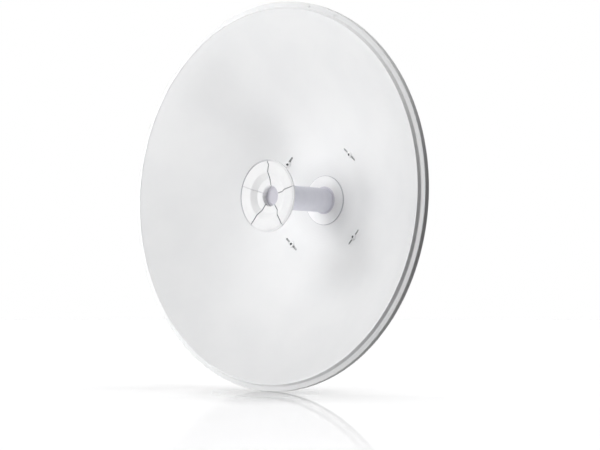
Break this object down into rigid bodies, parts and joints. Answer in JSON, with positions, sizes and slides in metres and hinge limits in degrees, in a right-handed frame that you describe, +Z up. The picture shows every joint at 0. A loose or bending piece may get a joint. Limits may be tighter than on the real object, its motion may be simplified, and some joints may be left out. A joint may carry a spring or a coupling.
{
  "type": "parabolic dish antenna",
  "caption": "White parabolic dish antenna with a stepped rim, a centre feed with a round cap, and a tilting rear bracket with a flat mounting plate.",
  "frame": {"origin": "centre of the mounting plate's flat rear face, on the dish's axis", "axes": "+Y out of the mounting plate's rear face, +Z up; the dish looks along -Y"},
  "size_m": [0.647, 0.279, 0.647],
  "materials": {
    "white_paint": "satin powder coat",
    "white_moulding": "fine moulded satin",
    "tube_grey": "satin",
    "core_grey": "satin",
    "galvanised_steel": "galvanised, faint spangle",
    "stainless_steel": "plain machined",
    "plated_brass": "bright plated"
  },
  "bodies": {
    "root": {"reflector": "white_paint", "hub_plate": "white_paint", "rim_rivet_left": "white_paint", "rim_rivet_right": "white_paint", "feed_flange": "white_moulding", "feed_collar": "core_grey", "feed_tube": "tube_grey", "feed_cone": "white_moulding", "feed_cap": "white_moulding", "feed_core": "core_grey", "feed_socket": "white_moulding", "coaxial_port_left": "plated_brass", "coaxial_port_right": "plated_brass", "cheek_bracket": "galvanised_steel", "mount_bracket": "galvanised_steel", "hub_bolt_1": "white_paint", "hub_bolt_2": "white_paint", "hub_bolt_3": "white_paint", "hub_bolt_4": "white_paint", "hub_nut_1": "stainless_steel", "hub_nut_2": "stainless_steel", "hub_nut_3": "stainless_steel", "hub_nut_4": "stainless_steel", "base_screw_1": "stainless_steel", "base_screw_2": "stainless_steel", "base_screw_3": "stainless_steel", "base_screw_4": "stainless_steel", "pivot_bolt_left": "stainless_steel", "pivot_bolt_right": "stainless_steel", "pivot_nut_left": "stainless_steel", "pivot_nut_right": "stainless_steel", "lock_bolt_left": "stainless_steel", "lock_bolt_right": "stainless_steel", "lock_nut_left": "stainless_steel", "lock_nut_right": "stainless_steel"}
  },
  "joints": []
}
